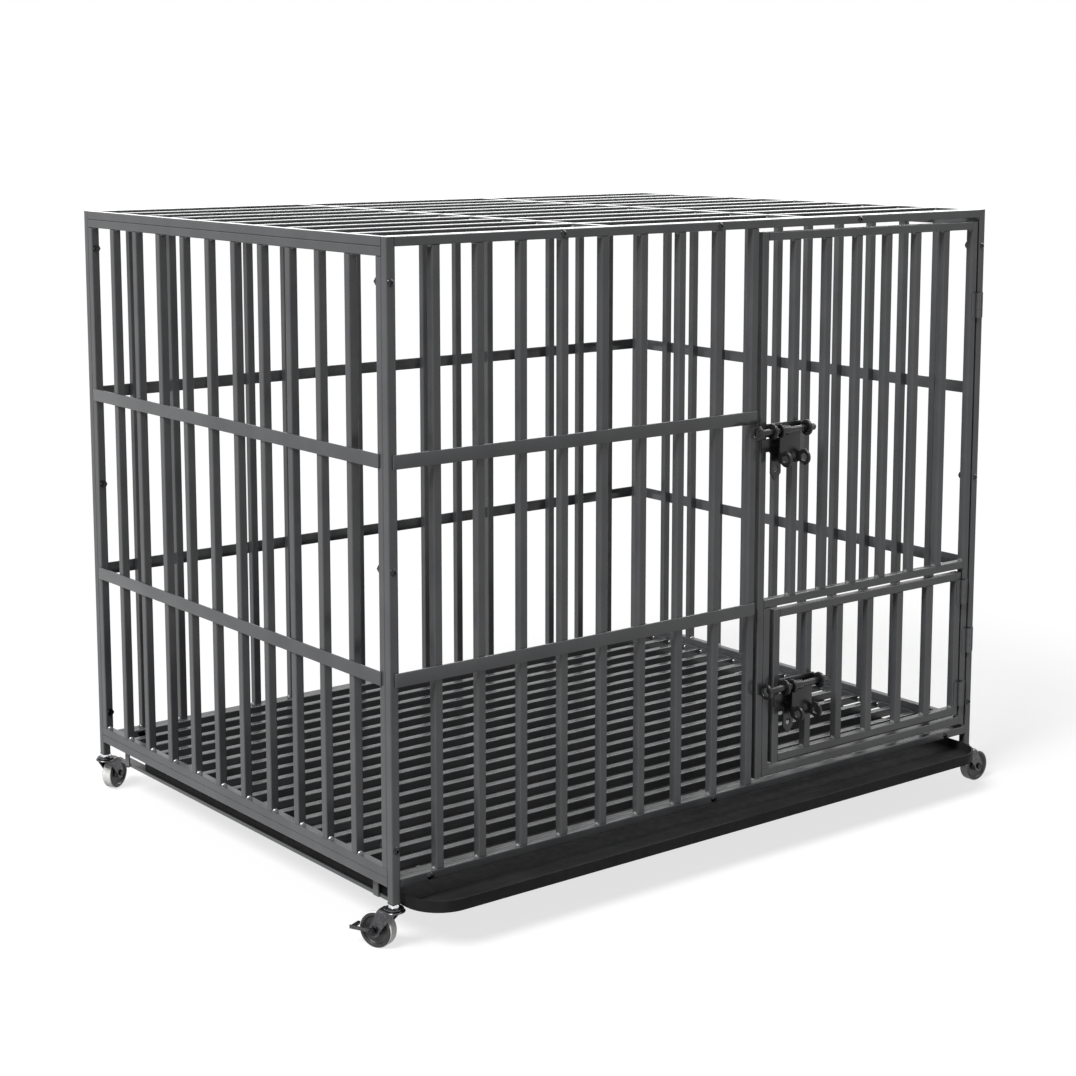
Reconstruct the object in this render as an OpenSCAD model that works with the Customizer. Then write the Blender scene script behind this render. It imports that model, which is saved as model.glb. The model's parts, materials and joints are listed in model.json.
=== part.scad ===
// Heavy duty dog crate. Welded square tube panels are bolted into a box on four swivel
// castors. A large front door carries a smaller door, and each is shut by a slide bolt.
// A shallow tray on two runners hung under the floor slides out to the front.
// X runs along the front, the front faces -Y, Z is up from the ground, in millimetres.

/* [Crate] */
// Length of the front and back panels over their corner stiles
crate_l = 1150; // [1000:10:1300]
// Depth from the front face to the back face
crate_w = 845; // [720:5:960]
// Height of the front and back panels from the leg ends to the top
panel_h = 880; // [780:10:960]
// Length of the corner stiles below the bottom rails
leg_drop = 20; // [16:1:40]

/* [Tube] */
// Outside width of the square tube
tube = 12.7; // [12:0.1:14]
// Wall thickness of the tube
tube_wall = 1; // [0.8:0.1:1.3]
// Outside corner radius of the tube
tube_r = 1.6; // [0.8:0.1:2]
// Root gap of the welds between tubes of one panel
weld_gap = 0.2; // [0.1:0.05:0.5]

/* [Bars] */
// Number of bars between the left stile and the door post
front_bar_n = 8; // [6:1:10]
// Number of bars in the back panel
back_bar_n = 15; // [12:1:18]
// Number of bars in each side panel
side_bar_n = 10; // [8:1:12]
// Number of slats in the floor
floor_slat_n = 17; // [14:1:20]
// Number of slats in the roof
roof_slat_n = 9; // [7:1:12]
// Number of cross bars in the roof
roof_cross_n = 2; // [1:1:3]
// Number of bars in the upper part of the door
door_bar_n = 6; // [5:1:7]
// Number of bars in the small door
small_bar_n = 5; // [4:1:6]

/* [Strips] */
// Height of the flat strips across the bars
strip_h = 19; // [14:1:25]
// Thickness of the strips
strip_t = 3; // [2:0.5:4]
// How far a strip laps onto an end stile
strip_lap = 6.5; // [4:0.5:10]
// Distance of the front strips' ends from the far edge of the door post
strip_short = 1.6; // [0.6:0.2:6]
// Height of the lower strips' middle above the leg ends
low_strip_z = 303; // [260:1:340]
// Height of the upper strips' middle above the leg ends
high_strip_z = 591; // [540:1:620]

/* [Doors] */
// Clear width between the door post and the right stile
doorway_w = 485; // [440:1:520]
// Gap above and below the large door
door_gap = 6; // [4:0.5:8]
// Gap at the bolt side of the large door
door_side_gap = 8; // [6:0.5:10]
// Gap between a door and the stile that it hangs on
hinge_gap = 4; // [3:0.5:5]
// Height of the underside of the door's middle rail above the leg ends
door_mid_z = 300; // [270:1:330]
// Gap at the bolt side of the small door
small_side_gap = 9; // [7:0.5:12]
// Gap above and below the small door
small_door_gap = 5.5; // [4:0.5:8]

/* [Hinges] */
// Height of a hinge
hinge_h = 40; // [30:1:48]
// Width of a hinge leaf from the pin
leaf_w = 12.5; // [10:0.5:14]
// Thickness of a hinge leaf
leaf_t = 2; // [1.5:0.1:2.5]
// Outside diameter of the hinge knuckles
knuckle_d = 7; // [6:0.5:8]
// Diameter of the hinge pins
pin_d = 3.5; // [3:0.1:4]
// Height of the large door's lower hinge above the leg ends
door_hinge_low = 179; // [140:1:240]
// Distance of the large door's upper hinge below the top
door_hinge_high = 152; // [110:1:220]
// Height of the small door's lower hinge above the leg ends
small_hinge_low = 92; // [88:1:130]
// Distance of the small door's upper hinge below the door's middle rail
small_hinge_high = 38; // [34:1:70]

/* [Bolts] */
// Diameter of the bolt rods
bolt_d = 10; // [8:0.5:11]
// Travel from the rest place to fully thrown
bolt_throw = 11; // [9:0.5:12]
// Height of the upper bolt above the leg ends
upper_bolt_z = 569; // [500:1:570]
// Height of the lower bolt above the leg ends
lower_bolt_z = 176; // [160:1:200]
// Radius of the round ears that hold the bolts
ear_r = 12; // [10:0.5:13]
// Thickness of the ears
ear_t = 4; // [3:0.5:5]
// Thickness of the guides' base plates
guide_t = 2.5; // [2:0.5:3]
// Diameter of the sleeve on the bolt
sleeve_d = 15; // [13:0.5:17]
// Diameter of the padlock eyes
eye_d = 9; // [7:0.5:10]

/* [Castors] */
// Wheel diameter
wheel_d = 50; // [44:1:60]
// Wheel width
wheel_w = 17; // [14:1:20]
// Distance of the wheel behind the swivel axis
trail = 25; // [20:1:30]
// Diameter of the castor stems
stem_d = 8; // [6:0.5:8.5]
// Length of the castor stems inside the stiles
stem_l = 32; // [24:1:40]
// Diameter of the wheel axles
axle_d = 6; // [5:0.5:8]
// Swivel angle of the front left castor
front_left_turn = 114; // [0:1:359]
// Swivel angle of the front right castor
front_right_turn = 0; // [0:1:359]
// Swivel angle of the back left castor
back_left_turn = 30; // [0:1:359]
// Swivel angle of the back right castor
back_right_turn = 110; // [0:1:359]

/* [Tray] */
// Height of the tray
tray_h = 16; // [12:1:18]
// Thickness of the tray's bottom and walls
tray_wall = 2.5; // [2:0.5:4]
// Outside radius of the tray's corners
tray_r = 55; // [20:1:80]
// Gap at the sides of the tray, to the castor races and to the runners
tray_gap = 1.6; // [1:0.1:3]
// How far the tray is drawn out of the front
tray_out = 55; // [0:1:60]
// Thickness of the runners and hangers that carry the tray
runner_t = 2; // [1.5:0.5:3]
// Width of the runners under the tray
runner_w = 18; // [12:1:30]
// Height of the runners beside the tray
runner_h = 5; // [4:0.5:14]

/* [Screws] */
// Diameter of the panel screws
screw_d = 6; // [5:0.5:6.5]
// Diameter of the screw heads
screw_head_d = 10.5; // [9:0.5:11.5]
// Height of the lowest corner screws above the leg ends
screw_low = 73; // [60:1:100]
// Distance of the highest corner screws below the top
screw_high = 58; // [40:1:80]

/* [Hidden] */
$fn = 48;
coat = "#4a4c4f";
black = "#1b1c1e";
zinc = "#b4b8bc";
rubber = "#c6c6c0";
dark_plastic = "#34363a";

// Castor build-up from the ground
fork_gap = 3;
fork_t = 2.5;
swivel_gap = 0.3;
race_t = 4.2;
collar_h = 3.5;
plug_flange = 1.5;
run_clear = 0.05;
castor_h = wheel_d + fork_gap + fork_t + swivel_gap + race_t + collar_h + plug_flange;
plate_z = wheel_d + fork_gap;
race_z = plate_z + fork_t + swivel_gap;

// Levels and faces of the box
x_out = crate_l / 2;
y_out = crate_w / 2;
leg_z = castor_h;
rail_z = leg_z + leg_drop;
floor_z = rail_z + tube;
top_z = leg_z + panel_h;
roof_z = top_z - tube;
front_y = -y_out;
side_y = y_out - tube;
inner_x = x_out - tube;
stile_x = x_out - tube / 2;
stile_y = y_out - tube / 2;
strip_z = [leg_z + low_strip_z, leg_z + high_strip_z];

// Places across the front
post_x = inner_x - doorway_w - tube;
front_pitch = (post_x + x_out) / (front_bar_n + 1);
back_pitch = (crate_l - tube) / (back_bar_n + 1);
side_pitch = (2 * side_y - tube) / (side_bar_n + 1);
floor_pitch = (2 * side_y - tube) / (floor_slat_n + 1);
roof_pitch = (2 * side_y - tube) / (roof_slat_n + 1);
cross_pitch = (crate_l - tube) / (roof_cross_n + 1);

// Large door
door_x0 = post_x + tube + door_side_gap;
door_x1 = inner_x - hinge_gap;
door_z0 = floor_z + door_gap;
door_z1 = roof_z - door_gap;
door_mid = leg_z + door_mid_z;
door_pitch = (door_x1 - tube - door_x0) / (door_bar_n + 1);
filler_x = door_x0 + tube + weld_gap;

// Small door
small_x0 = filler_x + tube + small_side_gap;
small_x1 = door_x1 - tube - hinge_gap;
small_z0 = door_z0 + tube + small_door_gap;
small_z1 = door_mid - small_door_gap;
small_pitch = (small_x1 - tube - small_x0) / (small_bar_n + 1);

// Hinges: the pins stand in front of the gap, with the leaves flat on the tubes
knuckle_gap = 0.3;
knuckle_h = (hinge_h - 2 * knuckle_gap) / 3;
leaf_clear = 0.4;
pin_head_d = 5.6;
pin_head_t = 1.2;
hinge_y = front_y - knuckle_d / 2;
door_hinge_x = inner_x - hinge_gap / 2;
small_hinge_x = door_x1 - tube - hinge_gap / 2;
door_hinge_z = [leg_z + door_hinge_low, top_z - door_hinge_high];
small_hinge_z = [leg_z + small_hinge_low, door_mid - small_hinge_high];

// Bolts: a guide runs from a door's stile to its first bar, and the bolt rests clear of the keeper
ear_stand = 2;
ear_foot = 16;
far_over = 3;
guide_h = 20;
slide_clear = 0.1;
keeper_clear = 2;
tip_gap = 1;
tip_cone = 2;
tail_out = 14;
stop_t = 3.5;
stop_clear = 1;
sleeve_l = 20;
handle_t = 4;
handle_w = 42;
handle_h = 50;
lug_out = 13;
lug_drop = 41;
lug_eye_d = 11;
hasp_t = 3;
hasp_at = 19;
hasp_w = 21;
hasp_top = 12;
hasp_arm = 20;
hasp_drop = 76;
hasp_point = 11;
hasp_eye_drop = 58.5;
bolt_out = ear_r + ear_stand;
bolt_y = front_y - bolt_out;
stop_d = 2 * (bolt_out - guide_t - stop_clear);
upper_keep_x = post_x + ear_t / 2;
upper_near_x = door_x0 + tube - ear_t / 2;
upper_far_x = door_x0 + door_pitch + tube + far_over;
lower_keep_x = door_x0 + tube / 2;
lower_near_x = small_x0 + tube - ear_t / 2;
lower_far_x = small_x0 + small_pitch + tube + far_over;

// Screws join the panels in pairs of tubes
screw_clear = 0.2;
screw_head_h = 3;
socket_d = 4;
socket_h = 1.8;
nut_w = 10;
nut_t = 5;
nut_clear = 0.1;
screw_end = 1.5;
screw_len = 2 * tube + nut_t + screw_end;
screw_mid = (panel_h + screw_low - screw_high) / 2;
corner_screw_z = [leg_z + screw_low, leg_z + screw_mid, top_z - screw_high];
floor_screw_in = 61;
floor_screw_x = [-x_out + floor_screw_in, 0, x_out - floor_screw_in];
roof_screw_x = [-crate_l / 4, 0, crate_l / 4];

// Castor parts
race_d = 27;
fork_disc_d = 31;
collar_d = 15;
king_d = 8;
king_flange_d = 14;
king_flange_t = 1.4;
plug_clear = 0.1;
wheel_clear = 1.2;
leg_t = 2;
leg_r = 9;
leg_half = wheel_w / 2 + wheel_clear;
fork_back = 9;
fork_front = 20;
axle_head_d = 10;
axle_head_t = 3;
axle_nut_w = 10;
axle_nut_t = 4;
hub_clear = 0.2;
hub_d = 14;
tyre_t = 4.5;
tyre_round = 2;
tread_gap = 0.05;
face_step = 0.5;
groove_w = 2;
groove_h = 1;
groove_in = 6;
brake_t = 1.6;
brake_gap = 0.2;
brake_ring_d = 13;
brake_arm = 5;
brake_reach = 37;
brake_pad = 7;
brake_pad_t = 2;
brake_pad_in = 8;
castor_at = [for (y = [-stile_y, stile_y], x = [-stile_x, stile_x]) [x, y]];
castor_turn = [front_left_turn, front_right_turn, back_left_turn, back_right_turn];

// Tray: it passes over the forks and between the races, and its runners end clear of the forks
tray_lift = 0.3;
tray_over = 1.5;
tray_back_gap = 5;
fork_clear = 3;
tray_z0 = plate_z + fork_t + tray_over;
tray_x = stile_x - race_d / 2 - tray_gap;
tray_y0 = front_y - tray_out;
tray_y1 = side_y - tray_back_gap - tray_out;
runner_z = tray_z0 - tray_lift - runner_t;
runner_end = stile_y - norm([fork_front, leg_half + leg_t]) - fork_clear;

// Rectangle with rounded corners, its low corner at the origin
module round_rectangle(w, h, r) {
    translate([r, 0]) square([w - 2 * r, h]);
    translate([0, r]) square([w, h - 2 * r]);
    for (x = [r, w - r], y = [r, h - r])
        translate([x, y]) circle(r, $fn = 24);
}

// Hollow tube of a given length along Z, with its far end closed where cap is the wall
module tube_length(length, cap = 0) {
    difference() {
        linear_extrude(length) round_rectangle(tube, tube, tube_r);
        translate([tube_wall, tube_wall, -1])
            cube([tube - 2 * tube_wall, tube - 2 * tube_wall, length + (cap > 0 ? 1 - cap : 2)]);
    }
}

// Tubes along each axis, placed by their low corner and their two ends
module tube_x(x0, x1, y, z) {
    translate([x0, y, z]) rotate([90, 0, 90]) tube_length(x1 - x0);
}
module tube_y(y0, y1, x, z) {
    translate([x, y1, z]) rotate([90, 0, 0]) tube_length(y1 - y0);
}
module tube_z(z0, z1, x, y, cap = 0) {
    translate([x, y, z0]) tube_length(z1 - z0, cap);
}

// Cylinder along Z between two heights
module cylinder_from(z0, z1, diameter) {
    translate([0, 0, z0]) cylinder(d = diameter, h = z1 - z0);
}

// Hole along Y for a panel screw through one tube whose near face is at y
module screw_hole(x, y, z) {
    translate([x, y - 1, z]) rotate([-90, 0, 0]) cylinder(d = screw_d + 2 * screw_clear, h = tube + 2);
}

// Upright of a panel with its three corner screw holes
module drilled_stile(z0, z1, x, y, cap = 0) {
    difference() {
        tube_z(z0, z1, x, y, cap);
        for (z = corner_screw_z) screw_hole(x + tube / 2, y, z);
    }
}

// Rail along X between the stiles, with screw holes at the given places
module drilled_rail(y, z, holes) {
    difference() {
        tube_x(-inner_x + weld_gap, inner_x - weld_gap, y, z);
        for (x = holes) screw_hole(x, y, z + tube / 2);
    }
}

// Two corner stiles, which run down as legs, and the top and bottom rails between them
module long_panel_frame(y) {
    for (x = [-x_out, inner_x]) drilled_stile(leg_z, top_z, x, y, tube_wall);
    drilled_rail(y, rail_z, floor_screw_x);
    drilled_rail(y, roof_z, roof_screw_x);
}

module front_frame() {
    color(coat) {
        long_panel_frame(front_y);
        tube_z(floor_z + weld_gap, roof_z - weld_gap, post_x, front_y);
    }
}

module front_bars() {
    color(coat)
        for (i = [1:front_bar_n])
            tube_z(floor_z + weld_gap, roof_z - weld_gap, i * front_pitch - x_out, front_y);
}

module front_strips() {
    color(coat)
        for (z = strip_z)
            translate([strip_lap - x_out, front_y - strip_t, z - strip_h / 2])
                cube([post_x + tube - strip_short + x_out - strip_lap, strip_t, strip_h]);
}

module back_frame() {
    color(coat) long_panel_frame(side_y);
}

module back_bars() {
    color(coat)
        for (i = [1:back_bar_n])
            tube_z(floor_z + weld_gap, roof_z - weld_gap, i * back_pitch - x_out, side_y);
}

module back_strips() {
    color(coat)
        for (z = strip_z)
            translate([strip_lap - x_out, y_out, z - strip_h / 2])
                cube([crate_l - 2 * strip_lap, strip_t, strip_h]);
}

// Side panel: rails under the roof and on the floor frame, with stiles between them
module side_frame(x) {
    low_z = floor_z + tube + weld_gap;
    high_z = roof_z - tube - weld_gap;
    for (z = [floor_z, roof_z - tube]) tube_y(-side_y, side_y, x, z);
    for (y = [-side_y, side_y - tube]) drilled_stile(low_z, high_z, x, y);
}

module side_bars(x) {
    low_z = floor_z + tube + weld_gap;
    high_z = roof_z - tube - weld_gap;
    for (i = [1:side_bar_n]) tube_z(low_z, high_z, x, i * side_pitch - side_y);
}

module side_strips(x) {
    for (z = strip_z)
        translate([x, strip_lap - side_y, z - strip_h / 2])
            cube([strip_t, 2 * (side_y - strip_lap), strip_h]);
}

module left_frame() {
    color(coat) side_frame(-x_out);
}
module left_bars() {
    color(coat) side_bars(-x_out);
}
module left_strips() {
    color(coat) side_strips(-x_out - strip_t);
}
module right_frame() {
    color(coat) side_frame(inner_x);
}
module right_bars() {
    color(coat) side_bars(inner_x);
}
module right_strips() {
    color(coat) side_strips(x_out);
}

// Frame of the floor or the roof, between the front and back panels
module grate_frame(z, holes) {
    for (x = [-x_out, inner_x]) tube_y(-side_y, side_y, x, z);
    for (y = [-side_y, side_y - tube]) drilled_rail(y, z, holes);
}

// Runner along a side: a ledge under the tray, an upstand beside it and two hangers welded to slats
module tray_runner() {
    side_x = tray_x + tray_gap;
    hang_x = side_x + runner_t + weld_gap;
    translate([side_x - weld_gap - runner_w, -runner_end, runner_z])
        cube([runner_w, 2 * runner_end, runner_t]);
    translate([side_x, -runner_end, runner_z]) cube([runner_t, 2 * runner_end, runner_h]);
    for (i = [1, floor_slat_n])
        translate([hang_x, i * floor_pitch - side_y, runner_z])
            cube([runner_t, tube, rail_z - weld_gap - runner_z]);
}

module floor_frame() {
    color(coat) {
        grate_frame(rail_z, floor_screw_x);
        for (side = [0, 1]) mirror([side, 0, 0]) tray_runner();
    }
}

// Shallow pan on the runners
module floor_tray() {
    w = 2 * tray_x;
    d = tray_y1 - tray_y0;
    color(black) translate([-tray_x, tray_y0, tray_z0]) difference() {
        linear_extrude(tray_h) round_rectangle(w, d, tray_r);
        translate([tray_wall, tray_wall, tray_wall]) linear_extrude(tray_h)
            round_rectangle(w - 2 * tray_wall, d - 2 * tray_wall, tray_r - tray_wall);
    }
}

module floor_slats() {
    color(coat)
        for (i = [1:floor_slat_n])
            tube_x(-inner_x + weld_gap, inner_x - weld_gap, i * floor_pitch - side_y, rail_z);
}

module roof_frame() {
    color(coat) grate_frame(roof_z, roof_screw_x);
}

// Roof slats in lengths between the side rails and the cross bars
module roof_slats() {
    color(coat)
        for (i = [1:roof_slat_n], k = [0:roof_cross_n])
            tube_x(k * cross_pitch - inner_x + weld_gap, (k + 1) * cross_pitch - x_out - weld_gap,
                i * roof_pitch - side_y, roof_z);
}

module roof_cross_bars() {
    color(coat)
        for (k = [1:roof_cross_n])
            tube_y(tube + weld_gap - side_y, side_y - tube - weld_gap, k * cross_pitch - x_out, roof_z);
}

// Repeats a fastener along +Y from the front face and along -Y from the back face
module at_screws() {
    for (side = [0, 1]) mirror([0, side, 0]) translate([0, front_y, 0]) {
        for (x = [-stile_x, stile_x], z = corner_screw_z)
            translate([x, 0, z]) rotate([-90, 0, 0]) children();
        for (x = floor_screw_x) translate([x, 0, rail_z + tube / 2]) rotate([-90, 0, 0]) children();
        for (x = roof_screw_x) translate([x, 0, roof_z + tube / 2]) rotate([-90, 0, 0]) children();
    }
}

// Button head screw with a hexagon socket, its shank along +Z from the seat of the head
module button_screw() {
    head_r = screw_head_d / 2;
    dome_r = (head_r * head_r + screw_head_h * screw_head_h) / (2 * screw_head_h);
    difference() {
        union() {
            rotate_extrude() intersection() {
                translate([0, dome_r - screw_head_h]) circle(dome_r);
                translate([0, -screw_head_h]) square([head_r, screw_head_h]);
            }
            translate([0, 0, -screw_head_h / 2]) cylinder(d = screw_d, h = screw_len + screw_head_h / 2);
        }
        translate([0, 0, -screw_head_h - 1]) cylinder(d = socket_d, h = socket_h + 1, $fn = 6);
    }
}

module frame_screws() {
    color(zinc) at_screws() button_screw();
}

module frame_nuts() {
    color(zinc) at_screws() translate([0, 0, 2 * tube]) difference() {
        cylinder(d = nut_w / cos(30), h = nut_t, $fn = 6);
        translate([0, 0, -1]) cylinder(d = screw_d + 2 * nut_clear, h = nut_t + 2);
    }
}

// Large door: two stiles, three rails and a filler that narrows the lower opening
module door_frame() {
    x0 = door_x0 + tube + weld_gap;
    x1 = door_x1 - tube - weld_gap;
    color(coat) {
        for (x = [door_x0, door_x1 - tube]) tube_z(door_z0, door_z1, x, front_y, tube_wall);
        for (z = [door_z0, door_mid, door_z1 - tube]) tube_x(x0, x1, front_y, z);
        tube_z(door_z0 + tube + weld_gap, door_mid - weld_gap, filler_x, front_y);
    }
}

module door_bars() {
    color(coat)
        for (i = [1:door_bar_n])
            tube_z(door_mid + tube + weld_gap, door_z1 - tube - weld_gap,
                door_x0 + i * door_pitch, front_y);
}

module small_door_frame() {
    x0 = small_x0 + tube + weld_gap;
    x1 = small_x1 - tube - weld_gap;
    color(coat) {
        for (x = [small_x0, small_x1 - tube]) tube_z(small_z0, small_z1, x, front_y, tube_wall);
        for (z = [small_z0, small_z1 - tube]) tube_x(x0, x1, front_y, z);
    }
}

module small_door_bars() {
    color(coat)
        for (i = [1:small_bar_n])
            tube_z(small_z0 + tube + weld_gap, small_z1 - tube - weld_gap,
                small_x0 + i * small_pitch, front_y);
}

// One hinge leaf beside a pin at the origin: side is +1 for the fixed leaf, which has the
// outer knuckles, and -1 for the moving leaf, which has the middle one
module hinge_leaf(side) {
    step = knuckle_h + knuckle_gap;
    own = side > 0 ? [0, 2] : [1];
    others = side > 0 ? [1] : [0, 2];
    reach = knuckle_d / 2 + leaf_clear;
    difference() {
        union() {
            translate([side > 0 ? 0 : -leaf_w, knuckle_d / 2 - leaf_t, -hinge_h / 2])
                cube([leaf_w, leaf_t, hinge_h]);
            for (k = own) translate([0, 0, k * step - hinge_h / 2]) cylinder(d = knuckle_d, h = knuckle_h);
        }
        for (k = others)
            translate([-reach, -knuckle_d, k * step - hinge_h / 2 - knuckle_gap])
                cube([2 * reach, 2 * knuckle_d, knuckle_h + 2 * knuckle_gap]);
        translate([0, 0, -hinge_h]) cylinder(d = pin_d + 2 * run_clear, h = 2 * hinge_h);
    }
}

module hinge_pin() {
    translate([0, 0, -hinge_h / 2]) cylinder(d = pin_d, h = hinge_h + pin_head_t);
    translate([0, 0, hinge_h / 2]) cylinder(d = pin_head_d, h = pin_head_t);
}

module at_hinges(x, heights) {
    for (z = heights) translate([x, hinge_y, z]) children();
}

module door_fixed_leaves() {
    color(coat) at_hinges(door_hinge_x, door_hinge_z) hinge_leaf(1);
}
module door_moving_leaves() {
    color(coat) at_hinges(door_hinge_x, door_hinge_z) hinge_leaf(-1);
}
module door_hinge_pins() {
    color(zinc) at_hinges(door_hinge_x, door_hinge_z) hinge_pin();
}
module small_fixed_leaves() {
    color(coat) at_hinges(small_hinge_x, small_hinge_z) hinge_leaf(1);
}
module small_moving_leaves() {
    color(coat) at_hinges(small_hinge_x, small_hinge_z) hinge_leaf(-1);
}
module small_hinge_pins() {
    color(zinc) at_hinges(small_hinge_x, small_hinge_z) hinge_pin();
}

// Round ear that stands out to the front on a foot, its hole along the bolt
module round_ear(out, hole_d) {
    rotate([90, 0, 90]) linear_extrude(ear_t) difference() {
        union() {
            translate([-out, 0]) circle(ear_r);
            translate([-out, -ear_foot / 2]) square([out, ear_foot]);
        }
        translate([-out, 0]) circle(d = hole_d);
    }
}

// Ear that the bolt passes through with some play
module bolt_ear(x, z, play) {
    translate([x - ear_t / 2, front_y, z]) round_ear(bolt_out, bolt_d + 2 * play);
}

// Guide: a base plate across the stile and the first bar with an ear at each end
module bolt_guide(near_x, far_x, z) {
    for (x = [near_x, far_x]) bolt_ear(x, z, slide_clear);
    translate([near_x, front_y - guide_t, z - guide_h / 2]) cube([far_x - near_x, guide_t, guide_h]);
}

// Rod of a slide bolt with a coned tip
module slide_bolt(keep_x, near_x, far_x, z) {
    tip = keep_x + ear_t / 2 + tip_gap - near_x;
    tail = far_x + ear_t / 2 + tail_out - near_x;
    translate([near_x, bolt_y, z]) rotate([0, 90, 0]) {
        translate([0, 0, tip]) cylinder(d1 = bolt_d - 2 * tip_cone, d2 = bolt_d, h = tip_cone);
        cylinder_from(tip + tip_cone, tail, bolt_d);
    }
}

// Handle of a slide bolt: stop collar, sleeve and plate in one piece, bored for the rod.
// An ear with an eye for a padlock stands on each side of the plate.
module bolt_handle(near_x, z) {
    stop_at = ear_t / 2 + bolt_throw + tip_gap;
    last = stop_at + handle_w;
    translate([near_x, bolt_y, z]) difference() {
        union() {
            rotate([0, 90, 0]) {
                cylinder_from(stop_at, stop_at + stop_t, stop_d);
                cylinder_from(stop_at, stop_at + sleeve_l, sleeve_d);
            }
            translate([stop_at, -handle_t / 2, -handle_h]) cube([handle_w, handle_t, handle_h]);
            for (x = [stop_at, last - ear_t]) translate([x, 0, -lug_drop]) round_ear(lug_out, lug_eye_d);
        }
        rotate([0, 90, 0]) cylinder_from(0, last + 1, bolt_d + 2 * run_clear);
    }
}

// Pointed hasp plate on the front of a door's stile, with an eye for a padlock
module hasp(near_x, z) {
    middle = hasp_at;
    root = ear_t / 2 - tube;
    translate([near_x, front_y, z]) rotate([90, 0, 0]) linear_extrude(hasp_t) difference() {
        polygon([
            [root, -hasp_top], [middle + hasp_w / 2, -hasp_top],
            [middle + hasp_w / 2, hasp_point - hasp_drop], [middle, -hasp_drop],
            [middle - hasp_w / 2, hasp_point - hasp_drop], [middle - hasp_w / 2, -hasp_top - hasp_arm],
            [root, -hasp_top - hasp_arm]
        ]);
        translate([middle, -hasp_eye_drop]) circle(d = eye_d);
    }
}

module upper_keeper() {
    color(black) bolt_ear(upper_keep_x, leg_z + upper_bolt_z, keeper_clear);
}
module upper_guide() {
    color(black) bolt_guide(upper_near_x, upper_far_x, leg_z + upper_bolt_z);
}
module upper_hasp() {
    color(black) hasp(upper_near_x, leg_z + upper_bolt_z);
}
module upper_bolt() {
    color(black) slide_bolt(upper_keep_x, upper_near_x, upper_far_x, leg_z + upper_bolt_z);
}
module upper_handle() {
    color(black) bolt_handle(upper_near_x, leg_z + upper_bolt_z);
}
module lower_keeper() {
    color(black) bolt_ear(lower_keep_x, leg_z + lower_bolt_z, keeper_clear);
}
module lower_guide() {
    color(black) bolt_guide(lower_near_x, lower_far_x, leg_z + lower_bolt_z);
}
module lower_hasp() {
    color(black) hasp(lower_near_x, leg_z + lower_bolt_z);
}
module lower_bolt() {
    color(black) slide_bolt(lower_keep_x, lower_near_x, lower_far_x, leg_z + lower_bolt_z);
}
module lower_handle() {
    color(black) bolt_handle(lower_near_x, leg_z + lower_bolt_z);
}

// Plastic plug in a leg end, with a flange under the tube and a bore for the stem
module leg_plug() {
    inside = tube - 2 * tube_wall - 2 * plug_clear;
    difference() {
        union() {
            translate([-tube / 2, -tube / 2, leg_z - plug_flange]) cube([tube, tube, plug_flange]);
            translate([-inside / 2, -inside / 2, leg_z - plug_flange / 2])
                cube([inside, inside, stem_l + plug_flange / 2]);
        }
        translate([0, 0, leg_z - plug_flange - 1])
            cylinder(d = stem_d + 2 * run_clear, h = stem_l + plug_flange + 2);
    }
}

// Castor stem with its collar, the upper race and the headed king pin that carries the fork
module castor_stem() {
    seat_z = race_z + race_t;
    cylinder_from(plate_z - swivel_gap - king_flange_t, plate_z - swivel_gap, king_flange_d);
    cylinder_from(plate_z - swivel_gap - king_flange_t / 2, race_z + race_t / 2, king_d);
    cylinder_from(race_z, seat_z, race_d);
    cylinder_from(seat_z - race_t / 2, seat_z + collar_h, collar_d);
    cylinder_from(seat_z, leg_z + stem_l, stem_d);
}

// Places its children at a castor, turned to that castor's angle
module at_castor(i) {
    translate([castor_at[i][0], castor_at[i][1], 0]) rotate([0, 0, castor_turn[i]]) children();
}

module castor_plugs() {
    color(black) for (p = castor_at) translate([p[0], p[1], 0]) leg_plug();
}
module castor_stems() {
    color(zinc) for (p = castor_at) translate([p[0], p[1], 0]) castor_stem();
}

// Fork pressed from plate: a round top on the king pin and a leg on each side of the wheel
module castor_fork(i) {
    axle_z = wheel_d / 2;
    leg_top = plate_z + fork_t;
    color(zinc) at_castor(i) difference() {
        union() {
            cylinder_from(plate_z, leg_top, fork_disc_d);
            translate([-fork_back, -leg_half - leg_t, plate_z])
                cube([fork_back + fork_front, 2 * (leg_half + leg_t), fork_t]);
            for (y = [-leg_half, leg_half + leg_t])
                translate([0, y, 0]) rotate([90, 0, 0]) linear_extrude(leg_t) {
                    polygon([
                        [-fork_back, leg_top], [fork_front, leg_top],
                        [trail + leg_r, axle_z], [trail - leg_r, axle_z]
                    ]);
                    translate([trail, axle_z]) circle(leg_r);
                }
        }
        cylinder_from(plate_z - 1, leg_top + 1, king_d + 2 * run_clear);
        translate([trail, 0, axle_z]) rotate([90, 0, 0])
            cylinder(d = axle_d + 2 * run_clear, h = 4 * leg_half, center = true);
    }
}

// Axle bolt with its head on one leg and its nut on the other, outside the brake where there is one
module castor_axle(i, braked) {
    head_y = leg_half + leg_t;
    nut_y = head_y + (braked ? brake_t + 2 * brake_gap : 0);
    color(zinc) at_castor(i) translate([trail, 0, wheel_d / 2]) rotate([-90, 0, 0]) {
        cylinder_from(-head_y - axle_head_t / 2, nut_y + axle_nut_t + 1, axle_d);
        cylinder_from(-head_y - axle_head_t, -head_y, axle_head_d);
        translate([0, 0, nut_y]) cylinder(d = axle_nut_w / cos(30), h = axle_nut_t, $fn = 6);
    }
}

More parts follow.
